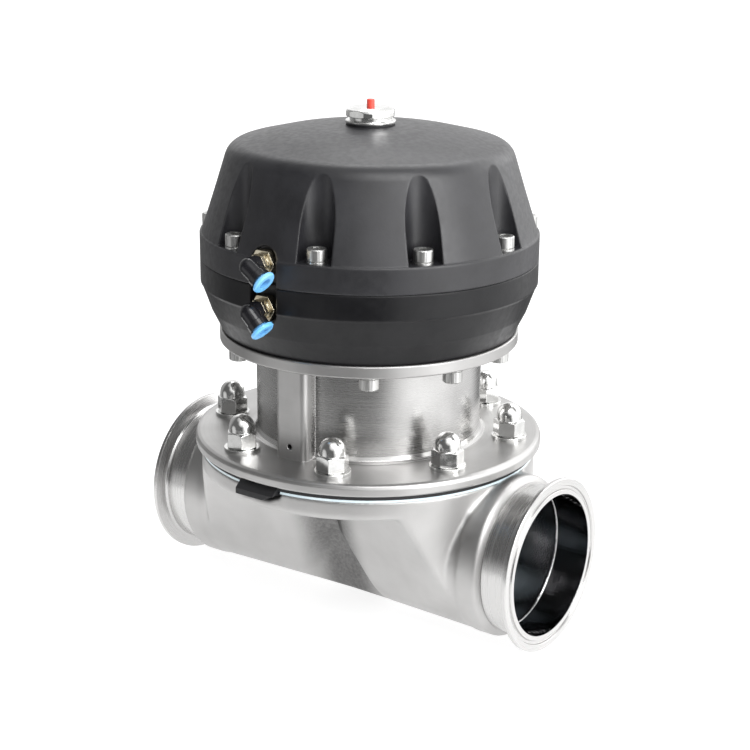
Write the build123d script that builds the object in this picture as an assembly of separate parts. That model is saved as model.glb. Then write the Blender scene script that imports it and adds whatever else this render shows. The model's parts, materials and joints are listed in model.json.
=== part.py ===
from build123d import *
import math
import os

# Pneumatic weir-type diaphragm valve, DN100 (4 inch), clamp ends, millimetres, +Z up.
# The frame's origin is the centre of the inlet face, with +X along the flow.
# Everything is modelled about the stem axis and moved along +X when it is written.

# ------------------------------------------------------------------ driving dimensions
FACE_TO_FACE = 305.0          # inlet face to outlet face
STEM_X = FACE_TO_FACE / 2     # stem axis from the inlet face

# pipe ends (4 inch clamp ferrules)
BORE_R = 48.7                 # ferrule bore
PASSAGE_R = 48.1               # cast bore through the necks, up to PASSAGE_X from the stem
PASSAGE_X = 70.0
TUBE_R = 51.2                 # weld end of the ferrule
FERRULE_R = 59.5              # clamp flange
FERRULE_LEN = 24.0            # ferrule, face to weld
RIM_T = 2.85                  # flat rim of the clamp flange
NECK_R = 55.3                 # cast neck and round underside of the body

# body and diaphragm clamp
LIP_R = 117.0                 # body lip under the diaphragm
LIP_TOP_Z = 54.4
LIP_T = 13.4
FACE_T = 1.8                  # PTFE face of the diaphragm
BACKING_T = 3.4               # rubber backing of the diaphragm
DISH_R = 74.4                 # closed diaphragm and weir saddle are parts of one sphere
DISH_TOP_R = 60.0             # where that sphere meets the lip's top face
CAVITY_R = 80.0               # ends of the body cavity under the diaphragm
WAIST_R = 37.0                # round underside of the body at the weir
WAIST_HALF = 53.0             # half width of the body under the lip, at the weir
END_HALF = 92.0               # the same where the body meets the necks
WALL = 6.0                    # casting wall of the chambers
SKIN = 0.6                    # the chambers' floors stand this far off the round necks
COLLAR_X = 112.0              # start of the neck's round collar, from the stem
COLLAR_R = 55.8
TAB_LEFT = -19.0              # tab of the diaphragm at the front of the lip
TAB_RIGHT = 12.0
TAB_LOW_Z = 49.6
TAB_FRONT = 122.5
TAB_ROOT = 112.4
TAB_CUT = (9.0, 4.0)          # its lower right corner is cut off slantwise
STEP_LEN = 3.0                # bevel from the collar down to the weld end
SEAT_WALL = 4.0               # least casting under the weir saddle

# bonnet
FLANGE_R = 121.0
FLANGE_T = 8.1
BONNET_R = 78.0
BONNET_BORE_R = 70.0
UPPER_FLANGE_R = 103.0
UPPER_FLANGE_T = 8.1
BONNET_TOP_Z = 141.6
DECK_T = 21.0                 # thick top of the bonnet that guides the spindle
PAD_HALF = 12.4               # upright pad on the bonnet's side
PAD_Y = 89.0

# fasteners
STUD_COUNT = 8
STUD_PCD_R = 100.0
STUD_R = 6.0
NUT_AF = 19.0
LOW_SCREW_PCD_R = 93.0
SCREW_COUNT = 10
SCREW_PCD_R = 107.5
SCREW_R = 4.0
SCREW_HEAD_R = 6.5
SCREW_HEAD_H = 8.0
LOCK_T = 1.6

# actuator
BAND_R = 115.5
BAND_LOW_Z = 175.3
PARTING_Z = 191.6
LEDGE_Z = 209.5
SHOULDER_R = 95.3             # where the cone and the domed top would meet
SHOULDER_Z = 267.6
SHOULDER_ROUND = 13.0
SEAT_R = 18.0                 # flat seat for the indicator cap
SEAT_Z = 280.2
POCKET_R = 11.5               # screw pockets in the cone

# spindle
SPINDLE_R = 10.0
THREAD_R = 8.0
ROD_R = 3.5
PIN_R = 2.65
PIN_TOP_Z = 297.0

# air fittings, for 8 mm tube
PORT_UPPER_Z = 206.9
PORT_LOWER_Z = 177.3
PORT_R = 4.9
PORT_FACE_Y = 109.3           # floor of the recess that the fittings sit in
RECESS_R = 10.6
CORNER_Y = 128.5
UPPER_LEG_ANGLE = 34.0        # below the horizontal
LOWER_LEG_ANGLE = 44.0
ELBOW_R = 6.2
LEG_LEN = 11.6
LEG_BORE_R = 5.0
COLLET_R = 8.0
TUBE_BORE_R = 4.05

# clearances
GAP = 0.3
RUN = 0.06                    # radial running clearance of shafts

# ------------------------------------------------------------------ derived places
FLANGE_Z = LIP_TOP_Z + FACE_T + BACKING_T
FLANGE_TOP_Z = FLANGE_Z + FLANGE_T
UPPER_FLANGE_Z = BONNET_TOP_Z - UPPER_FLANGE_T
DECK_Z = BONNET_TOP_Z - DECK_T
DISH_Z = LIP_TOP_Z + math.sqrt(DISH_R ** 2 - DISH_TOP_R ** 2)
NECK_END = STEM_X - FERRULE_LEN
STUD_ANGLES = [360 / STUD_COUNT * (i + 0.5) for i in range(STUD_COUNT)]
SCREW_ANGLES = [360 / SCREW_COUNT * i for i in range(SCREW_COUNT)]
# one place of the lower ring of screws is taken by the bonnet's upright pad
LOW_SCREW_ANGLES = [270 + 36 * i for i in range(1, 10)]

UP = (Align.CENTER, Align.CENTER, Align.MIN)
PARTS = "parts"


# ------------------------------------------------------------------ helpers
def disc(radius, z0, z1, x=0.0, y=0.0):
    """Upright cylinder from z0 to z1."""
    return Pos(x, y, z0) * Cylinder(radius, z1 - z0, align=UP)


def pipe(radius, x0, x1):
    """Cylinder along the flow from x0 to x1."""
    return Pos(x0, 0, 0) * Rot(0, 90, 0) * Cylinder(radius, x1 - x0, align=UP)


def front_rod(radius, y0, y1, z):
    """Cylinder along Y from -y0 out to -y1 at height z."""
    return Pos(0, -y0, z) * Rot(90, 0, 0) * Cylinder(radius, y1 - y0, align=UP)


def hexagon(across_flats, z0, z1):
    """Upright hexagonal prism."""
    sketch = RegularPolygon(across_flats / 2, 6, major_radius=False)
    return Pos(0, 0, z0) * extrude(sketch, z1 - z0)


def turned(points):
    """Solid of revolution about Z from (radius, z) points."""
    outline = Polyline([(r, 0, z) for r, z in points], close=True)
    return revolve(make_face(outline), Axis.Z)


def ball(radius, z):
    return Pos(0, 0, z) * Sphere(radius)


def around(piece, radius, angles):
    """Copies of a piece that stands on the Z axis, moved out to a circle."""
    return [Rot(0, 0, a) * Pos(radius, 0, 0) * piece for a in angles]


def cut_all(solid, tools):
    for tool in tools:
        solid = solid - tool
    return solid


def write(node, shape):
    """Moves a piece to the frame's origin and writes it."""
    pieces = shape if isinstance(shape, list) else [shape]
    solids = [s for piece in pieces for s in piece.solids()]
    moved = [Pos(STEM_X, 0, 0) * s for s in solids]
    export_step(moved[0] if len(moved) == 1 else Compound(children=moved), f"{PARTS}/{node}.step")


# ------------------------------------------------------------------ body and pipe ends
def trough(x, half_top, radius, low_z, top_z):
    """Section across the flow: round bottom, straight sides tangent to it that lean out to the top."""
    centre_z = low_z + radius
    rise = top_z - centre_z
    turn = math.atan2(rise, half_top) - math.acos(radius / math.hypot(half_top, rise))
    side_y = radius * math.cos(turn)
    side_z = centre_z + radius * math.sin(turn)
    bottom = ThreePointArc((x, side_y, side_z), (x, 0, low_z), (x, -side_y, side_z))
    sides = Polyline(
        (x, -side_y, side_z), (x, -half_top, top_z), (x, half_top, top_z), (x, side_y, side_z)
    )
    return make_face([bottom, sides])


def chamber(inset, low_r, top_z, end_r):
    """Both halves of the passage, narrow at the weir and wider towards the pipes."""
    waist = trough(0, WAIST_HALF - inset, WAIST_R - inset, -low_r, top_z)
    end = trough(STEM_X - 30, END_HALF - inset, low_r, -low_r, top_z)
    right = loft([waist, end], ruled=True)
    return (right + mirror(right, Plane.YZ)) & disc(end_r, -low_r - 1, top_z)


def neck(side):
    """Round neck that swells out of the chamber's underside, and its step down to the tube."""
    end = NECK_END - STEP_LEN
    waist = Plane(origin=(0, 0, WAIST_R - NECK_R), z_dir=(side, 0, 0)) * Circle(WAIST_R - SKIN)
    root = Plane(origin=(side * (COLLAR_X + 1), 0, 0), z_dir=(side, 0, 0)) * Circle(NECK_R - SKIN)
    swell = loft([waist, root], ruled=True)
    along = Rot(0, side * 90, 0)
    collar = Pos(side * COLLAR_X, 0, 0) * along * Cylinder(COLLAR_R, end - COLLAR_X, align=UP)
    step = Pos(side * end, 0, 0) * along * Cone(COLLAR_R, TUBE_R, STEP_LEN, align=UP)
    return swell + collar + step


def prism_y(points, y0, y1):
    """Prism along Y from an outline of (x, z) points."""
    outline = Polyline([(x, y0, z) for x, z in points], close=True)
    return extrude(make_face(outline), y1 - y0, dir=(0, 1, 0))


def web_groove():
    """V between the two chambers on the front: shallow under the lip, deep and wide at the bottom."""
    sections = []
    for z, half_widths in (
        (LIP_TOP_Z - LIP_T, ((1, -48), (9.5, -53.5), (14, -130))),
        (0, ((1, -34), (14, -47), (30, -130))),
        (-62, ((41, -16), (43, -26), (60, -130))),
    ):
        right = [(x, y, z) for x, y in half_widths]
        left = [(-x, y, z) for x, y in reversed(half_widths)]
        sections.append(make_face(Polyline(right + left, close=True)))
    return loft(sections, ruled=True) - ball(DISH_R + SEAT_WALL, DISH_Z)


def valve_body():
    lip_z = LIP_TOP_Z - LIP_T
    outer = chamber(0, NECK_R, lip_z + 0.5, LIP_R) + neck(-1) + neck(1)
    outer += disc(LIP_R, lip_z, LIP_TOP_Z)
    outer -= disc(LIP_R + 1, LIP_TOP_Z, LIP_TOP_Z + 10)
    weir = prism_y([(-46, -52), (46, -52), (10, 24), (8, 60), (-8, 60), (-10, 24)], -62, 62) & outer
    cavity = chamber(WALL, PASSAGE_R - SKIN, LIP_TOP_Z + 1, CAVITY_R)
    body = outer - cavity - pipe(PASSAGE_R, -STEM_X, -PASSAGE_X) - pipe(PASSAGE_R, PASSAGE_X, STEM_X)
    body = (body + weir) - ball(DISH_R, DISH_Z)
    groove = web_groove()
    body = body - groove - mirror(groove, Plane.XZ)
    body = cut_all(body, around(disc(STUD_R, lip_z - 1, LIP_TOP_Z + 1), STUD_PCD_R, STUD_ANGLES))
    return body - tab_notch()


def tab_block(margin, root_y):
    """The tab as a block from root_y forward: upright, with its lower right corner cut slantwise."""
    left, right, low = TAB_LEFT - margin, TAB_RIGHT + margin, TAB_LOW_Z - margin
    outline = [
        (left, low), (right - TAB_CUT[0], low), (right, low + TAB_CUT[1]), (right, FLANGE_Z), (left, FLANGE_Z),
    ]
    return prism_y(outline, -LIP_R - 11, root_y)


def tab_notch():
    """Notch in the lip that shows the diaphragm's tab."""
    return tab_block(1.5, -TAB_ROOT)


def ferrule(side):
    """Clamp ferrule: short tube, 20 degree tapered flange, gasket groove in the face."""
    taper = (FERRULE_R - TUBE_R - 3) * math.tan(math.radians(20))
    rim = FERRULE_LEN - RIM_T
    profile = [
        (BORE_R, 0), (TUBE_R, 0), (TUBE_R, rim - taper - 2.2), (TUBE_R + 1.0, rim - taper - 0.7),
        (TUBE_R + 3, rim - taper), (FERRULE_R, rim), (FERRULE_R, FERRULE_LEN - 0.5),
        (FERRULE_R - 0.5, FERRULE_LEN), (54.9, FERRULE_LEN), (54.2, FERRULE_LEN - 1.5),
        (52.4, FERRULE_LEN - 1.5), (51.7, FERRULE_LEN), (BORE_R, FERRULE_LEN),
    ]
    return Pos(side * NECK_END, 0, 0) * Rot(0, side * 90, 0) * turned(profile)


# ------------------------------------------------------------------ diaphragm and stem
def diaphragm_face():
    outer_r = DISH_R - GAP
    face = disc(LIP_R, LIP_TOP_Z, LIP_TOP_Z + FACE_T)
    face += ball(outer_r, DISH_Z) & disc(DISH_TOP_R, 0, LIP_TOP_Z)
    face -= ball(outer_r - 2.0, DISH_Z)
    face -= tab_notch()
    return cut_all(face, around(disc(STUD_R + 0.5, 50, 60), STUD_PCD_R, STUD_ANGLES))


def diaphragm_backing():
    outer_r = DISH_R - GAP - 2.0
    low_z = LIP_TOP_Z + FACE_T
    backing = disc(LIP_R + 0.4, low_z, FLANGE_Z)
    backing += ball(outer_r, DISH_Z) & disc(DISH_TOP_R, 0, low_z)
    tab_side = [
        (-110, FLANGE_Z - 0.2), (-116.5, FLANGE_Z - 1), (-TAB_FRONT, 53.6), (-TAB_FRONT, TAB_LOW_Z),
        (-TAB_ROOT - 0.6, TAB_LOW_Z), (-TAB_ROOT - 0.6, low_z - 0.2),
    ]
    profile = make_face(Polyline([(TAB_LEFT, y, z) for y, z in tab_side], close=True))
    tab = extrude(profile, TAB_RIGHT - TAB_LEFT, dir=(1, 0, 0)) & tab_block(0, -110)
    backing += tab
    backing -= ball(outer_r - 4.1, DISH_Z)
    return cut_all(backing, around(disc(STUD_R + 0.5, 50, 62), STUD_PCD_R, STUD_ANGLES))


def compressor():
    """Mushroom that presses the diaphragm onto the weir."""
    head = ball(DISH_R - GAP - 2.0 - 4.1 - GAP, DISH_Z) & disc(52, 0, 57)
    hub = disc(19, 56, 70)
    blank = head + hub - disc(SPINDLE_R, 48, 71)
    return blank - disc(4, 20, 46)


def diaphragm_stud():
    return disc(4, 31.2, 45.8)


def spindle():
    """Turned stem: shank, thread for the actuator nut, thin rod for the indicator."""
    return turned([
        (0, 48), (SPINDLE_R - 0.8, 48), (SPINDLE_R, 48.8), (SPINDLE_R, 176), (THREAD_R, 177.5),
        (THREAD_R, 194), (THREAD_R - 1, 195), (ROD_R, 195), (ROD_R, 236), (0, 236),
    ])


def spindle_bush():
    ring = disc(14, DECK_Z + 2, BONNET_TOP_Z - 4) - disc(SPINDLE_R + RUN, DECK_Z, BONNET_TOP_Z)
    return ring


def o_ring(mean_r, wire_r, z):
    return Pos(0, 0, z) * Torus(mean_r, wire_r)


# ------------------------------------------------------------------ bonnet
def bonnet():
    wall = turned([
        (BONNET_BORE_R, FLANGE_Z), (FLANGE_R - 0.8, FLANGE_Z), (FLANGE_R, FLANGE_Z + 0.8),
        (FLANGE_R, FLANGE_TOP_Z - 3), (FLANGE_R - 0.9, FLANGE_TOP_Z - 0.9), (FLANGE_R - 3, FLANGE_TOP_Z),
        (BONNET_R + 4, FLANGE_TOP_Z), (BONNET_R + 1.2, FLANGE_TOP_Z + 1.2), (BONNET_R, FLANGE_TOP_Z + 4),
        (BONNET_R, UPPER_FLANGE_Z - 2), (BONNET_R + 2, UPPER_FLANGE_Z),
        (UPPER_FLANGE_R - 0.6, UPPER_FLANGE_Z), (UPPER_FLANGE_R, UPPER_FLANGE_Z + 0.6),
        (UPPER_FLANGE_R, BONNET_TOP_Z - 0.6), (UPPER_FLANGE_R - 0.6, BONNET_TOP_Z),
        (14, BONNET_TOP_Z), (14, DECK_Z), (60, DECK_Z), (BONNET_BORE_R, DECK_Z - 10),
    ])
    pad = Pos(0, -(PAD_Y + 60) / 2, (FLANGE_TOP_Z + UPPER_FLANGE_Z) / 2 - 0.5) * Box(
        2 * PAD_HALF, PAD_Y - 60, UPPER_FLANGE_Z - FLANGE_TOP_Z + 1
    )
    front_edges = pad.edges().filter_by(Axis.Z).sort_by(Axis.Y)[:2]
    pad = fillet(front_edges, 4.0)
    part = wall + (pad - disc(BONNET_BORE_R + 2, 0, 200))
    part -= front_rod(2.0, 60, 95, FLANGE_TOP_Z + 8.5)
    part = cut_all(part, around(disc(STUD_R + 0.6, 50, 70), STUD_PCD_R, STUD_ANGLES))
    return cut_all(part, around(disc(SCREW_R + 0.5, 130, 145), LOW_SCREW_PCD_R, LOW_SCREW_ANGLES))


# ------------------------------------------------------------------ fasteners
def acorn_nut(z):
    """Domed nut: chamfered hexagon, round dome, blind hole."""
    hex_h = 11.0
    dome_r = 8.7
    chamfer = turned([(0, z), (NUT_AF / 2 - 0.2, z), (11.1, z + 0.9), (11.1, z + hex_h - 1.3),
                      (NUT_AF / 2 - 0.4, z + hex_h), (0, z + hex_h)])
    nut = hexagon(NUT_AF, z, z + hex_h) & chamfer
    nut += disc(dome_r, z + hex_h - 0.5, z + hex_h + 2.8)
    nut += ball(dome_r, z + hex_h + 2.8) & disc(dome_r, z + hex_h + 2.7, z + 40)
    return nut - disc(STUD_R, z - 1, z + 15)


def washer(outer_r, inner_r, z0, z1):
    return disc(outer_r, z0, z1) - disc(inner_r, z0 - 1, z1 + 1)


def cap_screw(head_z, tip_z):
    """Socket head screw; its head rises from head_z, or hangs down from it if the tip is above."""
    side = 1 if tip_z < head_z else -1
    end = head_z + side * SCREW_HEAD_H
    low, high = min(head_z, end), max(head_z, end)
    head = chamfer(disc(SCREW_HEAD_R, low, high).edges().filter_by(GeomType.CIRCLE), 0.6)
    socket_low = min(end, end - side * 4.2)
    shank = disc(SCREW_R, min(head_z, tip_z), max(head_z, tip_z))
    return head + shank - hexagon(6.0, socket_low - 0.01, socket_low + 4.21)


# ------------------------------------------------------------------ actuator
def port_recess():
    """Upright slot with round ends, sunk in the band, that both air fittings sit in."""
    ends = front_rod(RECESS_R, PORT_FACE_Y, 130, PORT_UPPER_Z) + front_rod(RECESS_R, PORT_FACE_Y, 130, PORT_LOWER_Z)
    middle = Pos(0, -(PORT_FACE_Y + 130) / 2, (PORT_UPPER_Z + PORT_LOWER_Z) / 2) * Box(
        2 * RECESS_R, 130 - PORT_FACE_Y, PORT_UPPER_Z - PORT_LOWER_Z
    )
    return ends + middle


def lower_housing():
    floor_z = BONNET_TOP_Z + 8.4
    shell = turned([
        (SPINDLE_R + RUN, BONNET_TOP_Z), (100.6, BONNET_TOP_Z), (101.4, BONNET_TOP_Z + 0.8),
        (108.6, 157.0), (BAND_R - 1.0, BAND_LOW_Z - 1.6), (BAND_R, BAND_LOW_Z), (BAND_R, PARTING_Z - 0.5),
        (BAND_R - 0.5, PARTING_Z), (113.6, PARTING_Z), (113.6, PARTING_Z - 1.4), (99, PARTING_Z - 1.4),
        (96, 170), (84, floor_z), (20, floor_z), (18, floor_z + 5), (SPINDLE_R + RUN, floor_z + 5),
    ])
    shell -= port_recess() + front_rod(PORT_R, 80, 130, PORT_LOWER_Z) + disc(113.6, PARTING_Z - 1.4, 200)
    insert = disc(5.5, 172, 192)
    shell = cut_all(shell, around(insert, SCREW_PCD_R, SCREW_ANGLES))
    shell = cut_all(shell, around(disc(SCREW_R, 140, 155), LOW_SCREW_PCD_R, LOW_SCREW_ANGLES))
    groove = o_ring(SPINDLE_R + 1.2, 1.5, floor_z + 1)
    return shell - groove


def upper_housing():
    dome_rise = SEAT_Z - SHOULDER_Z
    slope = (SHOULDER_Z + dome_rise * 0.45)
    outer = [
        (0, PARTING_Z), (BAND_R - 0.5, PARTING_Z), (BAND_R, PARTING_Z + 0.5), (BAND_R, LEDGE_Z - 1.2),
        (BAND_R - 0.4, LEDGE_Z - 0.3), (BAND_R - 1.2, LEDGE_Z),
        (SHOULDER_R, SHOULDER_Z), (62, slope + 2.4), (38, SEAT_Z - 1.2), (SEAT_R, SEAT_Z), (0, SEAT_Z),
    ]
    outline = make_face(Polyline([(r, 0, z) for r, z in outer], close=True))
    corner = outline.vertices().sort_by_distance((SHOULDER_R, 0, SHOULDER_Z))[0]
    outline = fillet(corner, SHOULDER_ROUND)
    crown = outline.vertices().sort_by_distance((62, 0, slope + 2.4))[0]
    outline = fillet(crown, 120)
    shell = revolve(outline, Axis.Z)
    shell -= turned([(0, 190), (91, 190), (91, 240), (84, 256), (74, 263), (20, 268), (0, 268)])
    shell -= disc(113.6, 190, PARTING_Z + 1.4)
    pocket = disc(POCKET_R, LEDGE_Z, 300)
    pocket += Pos(POCKET_R, 0, (LEDGE_Z + 300) / 2) * Box(2 * POCKET_R, 2 * POCKET_R, 300 - LEDGE_Z)
    shell = cut_all(shell, around(pocket, SCREW_PCD_R, SCREW_ANGLES))
    shell = cut_all(shell, around(disc(SCREW_R + 0.5, 190, 212), SCREW_PCD_R, SCREW_ANGLES))
    shell -= port_recess() + front_rod(PORT_R, 80, 130, PORT_UPPER_Z)
    return shell - disc(8.9, 260, 290)


def actuator_membrane():
    low = PARTING_Z - 1.4
    high = PARTING_Z + 1.4
    sheet = turned([
        (SPINDLE_R + 0.5, 168.4), (79, 168.4), (84, 170.2), (97.5, low), (113.4, low), (113.4, high),
        (95.5, high), (81, 173.0), (78, 171.6), (SPINDLE_R + 0.5, 171.6),
    ])
    return cut_all(sheet, around(disc(SCREW_R + 0.6, 180, 200), SCREW_PCD_R, SCREW_ANGLES))


def lower_plate():
    return turned([(SPINDLE_R, 162), (22, 162), (24, 164.4), (74, 164.4), (77, 165.6), (77, 166.6),
                   (75, 168.1), (SPINDLE_R, 168.1)])


def spring_plate():
    """Upper clamping plate with a rim and a centring step for the springs."""
    return turned([(SPINDLE_R, 171.9), (73, 171.9), (76, 174), (76, 180), (73.5, 180), (73.5, 175.4),
                   (44, 175.4), (43, 178.4), (40.5, 178.4), (39.5, 175.4), (SPINDLE_R, 175.4)])


def spindle_nut():
    return hexagon(27, 177.6, 189) + disc(15.5, 175.4, 177.6) - disc(SPINDLE_R, 175, 177.5) - disc(THREAD_R, 177, 190)


def coil(mean_r, wire_r, z0, z1, turns):
    """Compression spring with its wire on a helix."""
    path = Helix(pitch=(z1 - z0 - 2 * wire_r) / turns, height=z1 - z0 - 2 * wire_r, radius=mean_r)
    start = path @ 0
    section = Plane(origin=start, z_dir=path % 0) * Circle(wire_r)
    return Pos(0, 0, z0 + wire_r) * sweep(section, path)


# ------------------------------------------------------------------ indicator
def indicator_cap():
    """Hexagon cap with a round foot and a turned groove between them."""
    foot, groove, hex_low, hex_high, top = SEAT_Z + 1.2, SEAT_Z + 3.3, SEAT_Z + 5.7, SEAT_Z + 10.6, SEAT_Z + 11.9
    limit = turned([(0, hex_low), (16.2, hex_low), (17.0, hex_low + 0.8), (17.0, hex_high - 1.2), (16.0, hex_high),
                    (12.0, top), (0, top)])
    cap = hexagon(32, hex_low, top) & limit
    cap += turned([(0, foot), (16.6, foot), (17.0, foot + 0.5), (17.0, groove - 0.5), (16.6, groove), (0, groove)])
    cap += disc(14.2, groove - 0.1, hex_low + 0.1)
    cap += disc(8.85, 268, foot + 0.1)
    return cap - disc(PIN_R + RUN, 260, 300)


def indicator_pin():
    pin = disc(PIN_R, 236, PIN_TOP_Z)
    return chamfer(pin.edges().sort_by(Axis.Z)[-1], 0.4)


# ------------------------------------------------------------------ air fittings
def fitting_stem(z):
    """Brass male stem: thread, large hexagon collar, small hexagon, spigot for the elbow."""
    collar = Pos(0, -(PORT_FACE_Y + 1.0), z) * Rot(90, 0, 0) * hexagon(16.5, 0, 5.5)
    collar &= front_rod(9.2, PORT_FACE_Y, PORT_FACE_Y + 7, z)
    neck = front_rod(6.2, PORT_FACE_Y + 6.4, PORT_FACE_Y + 7.6, z)
    small = Pos(0, -(PORT_FACE_Y + 7.5), z) * Rot(90, 0, 0) * hexagon(12.0, 0, 4.3)
    stem = front_rod(PORT_R - 0.02, 99.5, PORT_FACE_Y + 1.2, z) + collar + neck + small
    stem += front_rod(4.5, PORT_FACE_Y + 11.7, CORNER_Y - 1.2, z)
    return stem - front_rod(2.6, 99, CORNER_Y, z)


def fitting_seal(z):
    return front_rod(7.6, PORT_FACE_Y, PORT_FACE_Y + 1.0, z) - front_rod(PORT_R, 100, 130, z)


def leg_frame(z, angle):
    """Frame at the elbow's corner with its Z axis along the leg."""
    return Pos(0, -CORNER_Y, z) * Rot(0, 90 + angle, 0)


def elbow(z, angle):
    base = PORT_FACE_Y + 12.1
    shell = front_rod(ELBOW_R, base, CORNER_Y, z)
    shell += Pos(0, -CORNER_Y, z) * Sphere(ELBOW_R)
    leg = disc(ELBOW_R, 0, LEG_LEN - 4) + disc(ELBOW_R + 0.7, LEG_LEN - 4, LEG_LEN)
    shell += leg_frame(z, angle) * leg
    shell -= front_rod(4.5 + RUN, base - 1, CORNER_Y - 0.8, z)
    shell -= leg_frame(z, angle) * disc(LEG_BORE_R, 5.2, LEG_LEN + 1)
    shell -= leg_frame(z, angle) * disc(2.6, 0, 8)
    return shell


def collet(z, angle):
    """Release ring: sleeve inside the leg and a flange outside it."""
    end = LEG_LEN + 4.2
    flange = turned([(0, LEG_LEN + 1.5), (COLLET_R - 0.4, LEG_LEN + 1.5), (COLLET_R, LEG_LEN + 1.9),
                     (COLLET_R, end - 0.9), (COLLET_R - 0.9, end), (0, end)])
    ring = disc(LEG_BORE_R - 0.1, LEG_LEN - 5, LEG_LEN + 1.6) + flange - disc(TUBE_BORE_R, 0, 40)
    return leg_frame(z, angle) * ring


# ------------------------------------------------------------------ the assembly
def build():
    washer_top = FLANGE_TOP_Z + 2.2
    pieces = {
        "valve_body": valve_body(),
        "inlet_ferrule": ferrule(-1),
        "outlet_ferrule": ferrule(1),
        "diaphragm_face": diaphragm_face(),
        "diaphragm_backing": diaphragm_backing(),
        "diaphragm_stud": diaphragm_stud(),
        "compressor": compressor(),
        "spindle": spindle(),
        "spindle_bush": spindle_bush(),
        "spindle_seal": o_ring(SPINDLE_R + 1.3, 1.24, BONNET_TOP_Z - 2.2),
        "housing_seal": o_ring(SPINDLE_R + 1.3, 1.24, BONNET_TOP_Z + 9.4),
        "bonnet": bonnet(),
        "body_studs": around(disc(STUD_R, LIP_TOP_Z - LIP_T + 0.4, washer_top + 13), STUD_PCD_R, STUD_ANGLES),
        "flange_washers": around(
            washer(12.2, STUD_R + 0.5, FLANGE_TOP_Z, washer_top), STUD_PCD_R, STUD_ANGLES),
        "acorn_nuts": around(acorn_nut(washer_top), STUD_PCD_R, STUD_ANGLES),
        "lower_housing": lower_housing(),
        "upper_housing": upper_housing(),
        "actuator_membrane": actuator_membrane(),
        "lower_plate": lower_plate(),
        "spring_plate": spring_plate(),
        "spindle_nut": spindle_nut(),
        "outer_spring": coil(54, 3.2, 176, 262, 6),
        "inner_spring": coil(33, 2.4, 176, 262, 7),
        "base_screws": around(
            cap_screw(UPPER_FLANGE_Z - LOCK_T, 154), LOW_SCREW_PCD_R, LOW_SCREW_ANGLES),
        "base_lock_washers": around(
            washer(6.6, SCREW_R + 0.2, UPPER_FLANGE_Z - LOCK_T, UPPER_FLANGE_Z), LOW_SCREW_PCD_R, LOW_SCREW_ANGLES),
        "housing_screws": around(cap_screw(LEDGE_Z + LOCK_T, 174), SCREW_PCD_R, SCREW_ANGLES),
        "housing_lock_washers": around(
            washer(6.6, SCREW_R + 0.2, LEDGE_Z, LEDGE_Z + LOCK_T), SCREW_PCD_R, SCREW_ANGLES),
        "housing_inserts": around(washer(5.5, SCREW_R, 173, PARTING_Z - 1.5), SCREW_PCD_R, SCREW_ANGLES),
        "cap_seal": washer(16.4, 8.9, SEAT_Z, SEAT_Z + 1.2),
        "indicator_cap": indicator_cap(),
        "indicator_pin": indicator_pin(),
    }
    for name, z, angle in (
        ("upper", PORT_UPPER_Z, UPPER_LEG_ANGLE), ("lower", PORT_LOWER_Z, LOWER_LEG_ANGLE)
    ):
        pieces[f"{name}_fitting_stem"] = fitting_stem(z)
        pieces[f"{name}_fitting_seal"] = fitting_seal(z)
        pieces[f"{name}_elbow"] = elbow(z, angle)
        pieces[f"{name}_collet"] = collet(z, angle)
    return pieces


os.makedirs(PARTS, exist_ok=True)
for node, shape in build().items():
    write(node, shape)
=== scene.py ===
import json
import math

import bpy
import numpy as np
from mathutils import Matrix, Vector

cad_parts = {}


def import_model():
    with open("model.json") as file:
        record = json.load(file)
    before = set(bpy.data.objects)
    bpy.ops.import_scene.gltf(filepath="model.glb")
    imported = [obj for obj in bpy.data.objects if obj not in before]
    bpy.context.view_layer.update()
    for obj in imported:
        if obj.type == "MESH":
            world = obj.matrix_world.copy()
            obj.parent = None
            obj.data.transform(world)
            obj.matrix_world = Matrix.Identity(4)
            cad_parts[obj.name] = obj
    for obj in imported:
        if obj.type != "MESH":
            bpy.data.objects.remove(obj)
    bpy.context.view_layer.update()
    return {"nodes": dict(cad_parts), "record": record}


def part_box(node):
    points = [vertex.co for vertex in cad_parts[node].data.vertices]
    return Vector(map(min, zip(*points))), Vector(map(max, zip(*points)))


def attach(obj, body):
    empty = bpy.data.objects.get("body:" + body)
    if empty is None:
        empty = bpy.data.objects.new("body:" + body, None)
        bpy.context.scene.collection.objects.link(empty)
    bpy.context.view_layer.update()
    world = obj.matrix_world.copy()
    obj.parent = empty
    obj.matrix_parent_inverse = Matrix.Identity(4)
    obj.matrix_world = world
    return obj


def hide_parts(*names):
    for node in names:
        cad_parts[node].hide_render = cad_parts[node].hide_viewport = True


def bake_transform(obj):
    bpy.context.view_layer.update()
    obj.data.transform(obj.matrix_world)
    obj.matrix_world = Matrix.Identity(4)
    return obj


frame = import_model()
NODES = frame["nodes"]

# ------------------------------------------------------------------ places, from the frame
STEM_X = (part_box("spindle")[0].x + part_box("spindle")[1].x) / 2
FLOOR_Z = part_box("inlet_ferrule")[0].z
DIAPHRAGM_RIM = 0.0052            # thickness of the diaphragm between the lip and the bonnet
LIP_TOP_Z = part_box("bonnet")[0].z - DIAPHRAGM_RIM

# camera: where it looks from, in degrees, and how far
VIEW_AZIMUTH = 35.7
VIEW_ELEVATION = 17.4
VIEW_ROLL = 0.5
VIEW_DISTANCE = 1.236
VIEW_SHIFT = 0.0044
VIEW_HEIGHT = 0.1043
LENS_MM = 84.9
SENSOR_MM = 36.0


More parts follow.
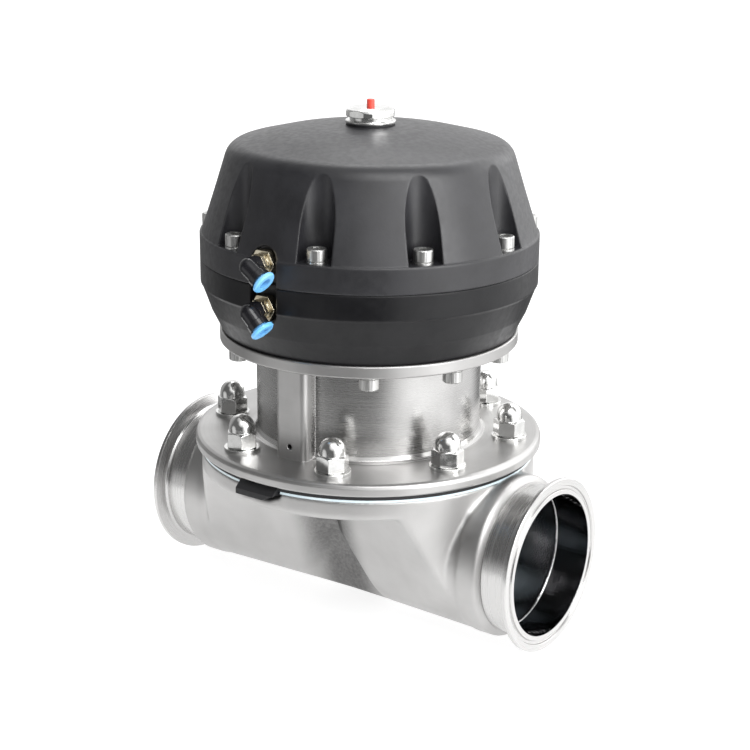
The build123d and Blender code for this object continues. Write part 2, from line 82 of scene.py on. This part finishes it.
# ------------------------------------------------------------------ node helpers
class Nodes:
    """A short way to add and join shader nodes."""

    def __init__(self, tree):
        self.tree = tree
        self.tree.nodes.clear()

    def add(self, kind, inputs=None, **values):
        node = self.tree.nodes.new(kind)
        for name, value in values.items():
            setattr(node, name, value)
        for name, value in (inputs or {}).items():
            if isinstance(value, bpy.types.NodeSocket):
                self.tree.links.new(value, node.inputs[name])
            else:
                node.inputs[name].default_value = value
        return node

    def link(self, out, into):
        self.tree.links.new(out, into)

    def math(self, operation, first, second=0.0):
        return self.add("ShaderNodeMath", {0: first, 1: second}, operation=operation).outputs[0]

    def noise(self, vector, scale, detail=2.0, rough=0.5):
        inputs = {"Vector": vector, "Scale": scale, "Detail": detail, "Roughness": rough}
        return self.add("ShaderNodeTexNoise", inputs).outputs["Fac"]

    def scaled(self, vector, scale):
        return self.add("ShaderNodeMapping", {"Vector": vector, "Scale": scale}).outputs["Vector"]

    def ramp(self, fac, low, high, span=(0.3, 0.7)):
        """Maps a factor smoothly from low to high over span."""
        inputs = {"Value": fac, "From Min": span[0], "From Max": span[1], "To Min": low, "To Max": high}
        return self.add("ShaderNodeMapRange", inputs, interpolation_type="SMOOTHSTEP").outputs["Result"]

    def colours(self, fac, low, high):
        inputs = {"Factor": fac, "A": (*low, 1), "B": (*high, 1)}
        return self.add("ShaderNodeMix", inputs, data_type="RGBA").outputs["Result"]

    def mix(self, fac, low, high):
        return self.add("ShaderNodeMix", {"Factor": fac, "A": low, "B": high}).outputs["Result"]

    def bump(self, height, distance, strength, normal):
        inputs = {"Height": height, "Distance": distance, "Strength": strength, "Normal": normal}
        return self.add("ShaderNodeBump", inputs).outputs["Normal"]

    def distance(self, at, axis):
        """Distance of a place from the stem axis ("Z") or from the pipe axis ("X")."""
        moved = self.add("ShaderNodeVectorMath", {0: at, 1: (STEM_X, 0, 0)}, operation="SUBTRACT")
        flat = (1, 1, 0) if axis == "Z" else (0, 1, 1)
        across = self.add("ShaderNodeVectorMath", {0: moved.outputs[0], 1: flat}, operation="MULTIPLY")
        return self.add("ShaderNodeVectorMath", {0: across.outputs[0]}, operation="LENGTH").outputs["Value"]

    def rings(self, at, axis):
        """Fine lines left by turning about an axis."""
        out = self.distance(at, axis)
        parts = self.add("ShaderNodeSeparateXYZ", {0: at})
        place = self.add("ShaderNodeCombineXYZ", {0: out, 1: parts.outputs[axis]})
        return self.noise(place.outputs[0], TURNING, 2)


def material(name, metallic, edge, **sockets):
    """A Principled material; edge is the radius to which sharp corners are softened."""
    mat = bpy.data.materials.new(name)
    mat.use_nodes = True
    n = Nodes(mat.node_tree)
    values = {"Metallic": metallic, **{k.replace("_", " "): v for k, v in sockets.items()}}
    shader = n.add("ShaderNodeBsdfPrincipled", values)
    out = n.add("ShaderNodeOutputMaterial")
    n.link(shader.outputs["BSDF"], out.inputs["Surface"])
    at = n.add("ShaderNodeTexCoord").outputs["Object"]
    soft = n.add("ShaderNodeBevel", {"Radius": edge}, samples=6).outputs["Normal"]
    return mat, n, shader.inputs, at, soft


# ------------------------------------------------------------------ materials
# where a finish changes, as spans in metres
WEB_SHADE_SPAN = (0.008, 0.033)         # painted shade between the body's chambers: distance from the stem along the pipe
WEB_SHADE_TOP = (0.022, 0.042)          # and the height where it ends
PASSAGE_EDGE = (0.0482, 0.0486)   # polished passage of the body, its base colour painted darker as a dark reflection: distance from the pipe axis
PASSAGE_FROM = (0.068, 0.072)     # and its start, from the stem
BORE_EDGE = (0.0486, 0.0492)      # polished bore of a ferrule, its base colour painted darker as a dark reflection: distance from the pipe axis
FLANGE_EDGE = (0.081, 0.085)      # bonnet: from the barrel out to the flanges
TURNING = 1400                    # scale of the lines left by a lathe
POLISHED_ROUGH = 0.07


def cast_steel(name, dark, light, rough, edge=0.0012, web_shade=1.0, polish=0.0):
    """Bead-blasted stainless: fine grain and faint cloudiness.

    A shade factor below 1 paints shade into the base colour between the body's chambers, darker with a
    mottled grain; polish of 1 polishes the body's passage and paints its base colour darker, a painted dark
    reflection.
    """
    mat, n, into, at, soft = material(name, 1.0, edge)
    place = n.add("ShaderNodeSeparateXYZ", {0: at})
    across = n.math("ABSOLUTE", n.math("SUBTRACT", place.outputs["X"], STEM_X))
    # painted shade: the base colour close to the stem and below the lip is darkened by position, on the
    # outside and inside alike
    in_web_shade = n.math("MULTIPLY", n.ramp(across, 1, 0, WEB_SHADE_SPAN), n.ramp(place.outputs["Z"], 1, 0, WEB_SHADE_TOP))
    grain = n.ramp(n.noise(at, 420, 4, 0.7), web_shade, web_shade * 1.5)
    shade = n.mix(in_web_shade, 1.0, grain)
    tone = n.colours(n.ramp(n.noise(at, 22, 3), 0, 1), dark, light)
    toned = n.add("ShaderNodeVectorMath", {0: tone, "Scale": shade}, operation="SCALE").outputs[0]
    near_axis = n.ramp(n.distance(at, "X"), 1, 0, PASSAGE_EDGE)
    passage = n.math("MULTIPLY", near_axis, n.ramp(across, 0, 1, PASSAGE_FROM))
    wetted = n.math("MULTIPLY", passage, polish)
    dull = n.ramp(n.noise(at, 60, 4), rough - 0.03, rough + 0.04)
    n.link(n.mix(wetted, dull, POLISHED_ROUGH), into["Roughness"])
    # painted reflection: the polished passage gets a darker base colour than the outside, standing in for
    # the dark things it reflects; polished steel itself is not darker
    tones = {"Factor": wetted, "A": toned, "B": (0.3, 0.3, 0.31, 1)}
    colour = n.add("ShaderNodeMix", tones, data_type="RGBA")
    n.link(colour.outputs["Result"], into["Base Color"])
    n.link(n.bump(n.noise(at, 900, 3, 0.6), 0.0003, 0.25, soft), into["Normal"])
    return mat


def bonnet_steel(name):
    """Stainless turned on a lathe: fine rings, a bright barrel, satin flanges."""
    mat, n, into, at, soft = material(name, 1.0, 0.0012)
    lines = n.rings(at, "Z")
    rough = n.mix(n.ramp(n.distance(at, "Z"), 0, 1, FLANGE_EDGE), 0.27, 0.4)
    n.link(n.math("ADD", rough, n.ramp(lines, -0.03, 0.04)), into["Roughness"])
    cloud = n.ramp(n.noise(at, 30, 3), 0, 1)
    n.link(n.colours(cloud, (0.45, 0.445, 0.44), (0.52, 0.515, 0.51)), into["Base Color"])
    n.link(n.bump(lines, 0.00003, 0.2, soft), into["Normal"])
    return mat


def ferrule_steel(name):
    """Turned outside, mirror-polished bore with the slight waves of a polished tube; the bore's base colour
    is painted darker, a painted dark reflection.
    """
    mat, n, into, at, soft = material(name, 1.0, 0.0006)
    inside = n.ramp(n.distance(at, "X"), 1, 0, BORE_EDGE)
    lines = n.rings(at, "X")
    n.link(n.mix(inside, n.ramp(lines, 0.2, 0.32), 0.06), into["Roughness"])
    # painted reflection: the bore's base colour is darker than the outside, standing in for the dark things
    # it reflects
    n.link(n.colours(inside, (0.58, 0.575, 0.57), (0.32, 0.32, 0.33)), into["Base Color"])
    waves = n.math("MULTIPLY", n.noise(at, 24, 2), inside)
    n.link(n.bump(waves, 0.004, 0.35, n.bump(lines, 0.00004, 0.3, soft)), into["Normal"])
    return mat


def polished(name, dark, light, rough, edge=0.0005):
    """Polished metal with a faint uneven shine."""
    mat, n, into, at, soft = material(name, 1.0, edge)
    n.link(n.colours(n.ramp(n.noise(at, 160, 2), 0, 1), dark, light), into["Base Color"])
    n.link(n.ramp(n.noise(at, 300, 2), rough - 0.03, rough + 0.05), into["Roughness"])
    n.link(n.bump(n.noise(at, 500, 2), 0.0001, 0.1, soft), into["Normal"])
    return mat


def screw_steel(name):
    """Satin screws; upright streaks stand for the knurl on their heads."""
    mat, n, into, at, soft = material(name, 1.0, 0.0004)
    knurl = n.noise(n.scaled(at, (1500, 1500, 30)), 1.0, 1)
    n.link(n.colours(n.ramp(knurl, 0, 1), (0.42, 0.42, 0.42), (0.72, 0.72, 0.70)), into["Base Color"])
    n.link(n.ramp(knurl, 0.42, 0.3), into["Roughness"])
    n.link(n.bump(knurl, 0.0004, 0.5, soft), into["Normal"])
    return mat


def moulded(name, dark, light, rough, edge=0.0004, grain=700, depth=0.0001, sheen=0.5):
    """Moulded plastic or rubber: grain in the surface, slight changes of shade and shine."""
    mat, n, into, at, soft = material(name, 0.0, edge, Specular_IOR_Level=sheen)
    n.link(n.colours(n.ramp(n.noise(at, 40, 4), 0, 1), dark, light), into["Base Color"])
    n.link(n.ramp(n.noise(at, 260, 3), rough - 0.04, rough + 0.05), into["Roughness"])
    n.link(n.bump(n.noise(at, grain, 2), depth, 0.3, soft), into["Normal"])
    return mat


FINISHES = {
    # the body: painted shade between its chambers, and its polished passage painted darker as a dark
    # reflection
    "cast_steel": cast_steel(
        "cast_steel_look", (0.46, 0.455, 0.45), (0.52, 0.515, 0.51), 0.42, 0.002, web_shade=0.3, polish=1.0
    ),
    "bonnet_steel": bonnet_steel("bonnet_steel_look"),
    "turned_steel": ferrule_steel("turned_steel_look"),
    "plate_steel": cast_steel("plate_steel_look", (0.50, 0.50, 0.50), (0.56, 0.56, 0.56), 0.35),
    "spring_steel": cast_steel("spring_steel_look", (0.32, 0.33, 0.35), (0.40, 0.41, 0.43), 0.35, 0.0002),
    "screw_steel": screw_steel("screw_steel_look"),
    "polished_steel": polished("polished_steel_look", (0.68, 0.68, 0.67), (0.78, 0.78, 0.77), 0.12, 0.0007),
    "ptfe": moulded("ptfe_look", (0.62, 0.74, 0.80), (0.74, 0.84, 0.88), 0.35),
    "epdm": moulded("epdm_look", (0.008, 0.008, 0.009), (0.014, 0.014, 0.016), 0.55, 0.0006),
    "bearing_plastic": moulded("bearing_plastic_look", (0.60, 0.56, 0.46), (0.68, 0.64, 0.54), 0.4),
    # painted shade: the lower shell is the housing's black nylon given a darker base colour and less shine,
    # standing in for shade on its lower, downward-facing sides
    "lower_nylon": moulded(
        "lower_nylon_painted_shade_look", (0.004, 0.004, 0.005), (0.008, 0.008, 0.009), 0.36, 0.0015, sheen=0.3
    ),
    "upper_nylon": moulded(
        "upper_nylon_look", (0.011, 0.011, 0.013), (0.018, 0.018, 0.021), 0.42, 0.0018, sheen=0.62
    ),
    "brass": polished("brass_look", (0.60, 0.44, 0.20), (0.68, 0.50, 0.24), 0.2),
    "nickel_brass": polished("nickel_brass_look", (0.52, 0.46, 0.34), (0.72, 0.66, 0.52), 0.22, 0.0005),
    "red_plastic": moulded("red_plastic_look", (0.72, 0.06, 0.04), (0.82, 0.10, 0.07), 0.35, 0.0003),
    "black_plastic": moulded(
        "black_plastic_look", (0.006, 0.006, 0.008), (0.010, 0.010, 0.012), 0.18, 0.0006
    ),
    "blue_plastic": moulded("blue_plastic_look", (0.14, 0.46, 0.86), (0.24, 0.56, 0.92), 0.22, 0.0005),
}


def dress(obj, look):
    obj.data.materials.clear()
    obj.data.materials.append(look)


for entry in frame["record"]["subparts"]:
    dress(NODES[entry["node"]], FINISHES[entry["material_slot"]])


# ------------------------------------------------------------------ pieces made from the frame's meshes
VOXEL = 0.0012
MACHINED_LIP = 0.0026             # height of lip that stays crisp
MACHINED_END = 0.119              # and the ends stay crisp this far from the stem
FADE = 0.006
WEIGHT_STEPS = 10
ROUNDING_PASSES = 22


def twin(node, name):
    """A copy of a node's mesh as a piece of its own, shown in place of the node."""
    piece = bpy.data.objects.new(name, NODES[node].data.copy())
    bpy.context.scene.collection.objects.link(piece)
    return piece


def apply_modifiers(piece):
    graph = bpy.context.evaluated_depsgraph_get()
    mesh = bpy.data.meshes.new_from_object(piece.evaluated_get(graph))
    piece.modifiers.clear()
    piece.data = mesh


def cast_body():
    """The body casting with its outside corners rounded; the machined ends and lip stay crisp."""
    piece = twin("valve_body", "cast_body")
    remesh = piece.modifiers.new("skin", "REMESH")
    remesh.mode = "VOXEL"
    remesh.voxel_size = VOXEL
    apply_modifiers(piece)
    co = np.empty(len(piece.data.vertices) * 3, np.float32)
    piece.data.vertices.foreach_get("co", co)
    co = co.reshape(-1, 3)
    below_lip = np.clip((LIP_TOP_Z - MACHINED_LIP - co[:, 2]) / FADE, 0, 1)
    inside_ends = np.clip((MACHINED_END - np.abs(co[:, 0] - STEM_X)) / FADE, 0, 1)
    weights = below_lip * inside_ends
    group = piece.vertex_groups.new(name="cast")
    for level in range(1, WEIGHT_STEPS + 1):
        chosen = np.nonzero(np.round(weights * WEIGHT_STEPS) == level)[0]
        group.add(chosen.tolist(), level / WEIGHT_STEPS, "REPLACE")
    smooth = piece.modifiers.new("round", "SMOOTH")
    smooth.factor = 0.5
    smooth.iterations = ROUNDING_PASSES
    smooth.vertex_group = "cast"
    apply_modifiers(piece)
    for polygon in piece.data.polygons:
        polygon.use_smooth = True
    dress(piece, FINISHES["cast_steel"])
    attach(piece, "valve")
    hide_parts("valve_body")


def flexing(node, name):
    """A copy of a soft or sprung piece, with its placing baked into the mesh, shown in place of the node.
    """
    piece = twin(node, name)
    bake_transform(piece)
    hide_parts(node)


cast_body()
flexing("diaphragm_face", "flexing_face")
flexing("diaphragm_backing", "flexing_backing")
flexing("actuator_membrane", "flexing_membrane")
for spring in ("outer_spring", "inner_spring"):
    flexing(spring, spring + "_wire")


# ------------------------------------------------------------------ studio
TABLE_R = 0.42
FLOOR_R = 6.0
FLOOR_DROP = 0.0005               # the floor lies just under the valve's lowest point
TURN_STEPS = 72
LIGHT_DISTANCE = 1.5


def circle(radius):
    """Points of a circle on the floor round the stem."""
    turns = [math.radians(360 / TURN_STEPS * i) for i in range(TURN_STEPS)]
    z = FLOOR_Z - FLOOR_DROP
    return [(STEM_X + radius * math.cos(a), radius * math.sin(a), z) for a in turns]


def floor():
    """A bright round table under the valve, and the same floor going on round it, out of the gloss."""
    look = material("floor_look", 0.0, 0.001, Base_Color=(0.45, 0.45, 0.45, 1), Roughness=0.8,
                    Emission_Color=(1, 1, 1, 1), Emission_Strength=0.8)[0]
    for name, inner, outer in (("studio_table", 0.0, TABLE_R), ("studio_floor", TABLE_R, FLOOR_R)):
        mesh = bpy.data.meshes.new(name)
        if inner:
            faces = [
                (i, TURN_STEPS + i, TURN_STEPS + (i + 1) % TURN_STEPS, (i + 1) % TURN_STEPS)
                for i in range(TURN_STEPS)
            ]
            mesh.from_pydata(circle(inner) + circle(outer), [], faces)
        else:
            mesh.from_pydata(circle(outer), [], [tuple(range(TURN_STEPS))])
        ground = bpy.data.objects.new(name, mesh)
        bpy.context.scene.collection.objects.link(ground)
        ground.visible_glossy = not inner
        mesh.materials.append(look)


def direction(azimuth, elevation):
    a, e = math.radians(azimuth), math.radians(elevation)
    return Vector((math.sin(a) * math.cos(e), -math.cos(a) * math.cos(e), math.sin(e)))


def area_light(name, azimuth, elevation, size, power):
    """A soft panel that looks at the middle of the valve."""
    way = direction(azimuth, elevation)
    data = bpy.data.lights.new(name, "AREA")
    data.shape = "RECTANGLE"
    data.size, data.size_y = size
    data.energy = power
    light = bpy.data.objects.new(name, data)
    bpy.context.scene.collection.objects.link(light)
    light.location = Vector((STEM_X, 0, VIEW_HEIGHT)) + way * LIGHT_DISTANCE
    light.rotation_euler = way.to_track_quat("Z", "Y").to_euler()


# soft bright areas round the valve: azimuth, elevation, full to half angle, fade-out angle, strength
PANELS = (
    (90, 0, 14, 48, 1.6),
    (146, 2, 18, 44, 1.15),
    (156, 30, 14, 38, 1.7),
    (204, 26, 20, 48, 1.0),
    (-100, 10, 14, 44, 0.28),
    (-36, -14, 8, 26, 0.6),
    (50, 42, 14, 40, 1.0),
    (20, 84, 12, 38, 0.6),
)
SURROUND = 0.15


def world():
    """Plain white to the eye; panels with dark gaps for the gloss."""
    data = bpy.data.worlds.new("studio")
    bpy.context.scene.world = data
    data.use_nodes = True
    n = Nodes(data.node_tree)
    way = n.add("ShaderNodeTexCoord").outputs["Generated"]
    total = SURROUND
    for azimuth, elevation, full, fade, strength in PANELS:
        inputs = {0: way, 1: direction(azimuth, elevation)}
        facing = n.add("ShaderNodeVectorMath", inputs, operation="DOT_PRODUCT").outputs["Value"]
        span = (math.cos(math.radians(fade)), math.cos(math.radians(full)))
        total = n.math("ADD", n.ramp(facing, 0.0, strength, span), total)
    studio = n.add("ShaderNodeBackground", {"Color": (1, 1, 1, 1), "Strength": total})
    plain = n.add("ShaderNodeBackground", {"Color": (1, 1, 1, 1), "Strength": 1.0})
    seen = n.add("ShaderNodeLightPath").outputs["Is Camera Ray"]
    mix = n.add("ShaderNodeMixShader", {"Fac": seen, 1: studio.outputs[0], 2: plain.outputs[0]})
    n.add("ShaderNodeOutputWorld", {"Surface": mix.outputs[0]})


def camera():
    a, r = math.radians(VIEW_AZIMUTH), math.radians(VIEW_ROLL)
    back = direction(VIEW_AZIMUTH, VIEW_ELEVATION)
    side = Vector((math.cos(a), math.sin(a), 0))
    up = back.cross(side)
    side_rolled = side * math.cos(r) + up * math.sin(r)
    up_rolled = up * math.cos(r) - side * math.sin(r)
    aim = Vector((STEM_X, 0, VIEW_HEIGHT)) + side * VIEW_SHIFT
    data = bpy.data.cameras.new("camera")
    data.lens = LENS_MM
    data.sensor_width = SENSOR_MM
    data.clip_end = 50
    cam = bpy.data.objects.new("camera", data)
    bpy.context.scene.collection.objects.link(cam)
    turn = Matrix((side_rolled, up_rolled, back)).transposed()
    cam.matrix_world = Matrix.Translation(aim + back * VIEW_DISTANCE) @ turn.to_4x4()
    bpy.context.scene.camera = cam


floor()
world()
area_light("right_panel", 84, 20, (0.4, 1.0), 9)
area_light("front_panel", 58, 48, (0.9, 0.7), 10)
area_light("top_panel", 200, 62, (1.0, 0.6), 7)
camera()
bpy.context.scene.view_settings.view_transform = "Standard"
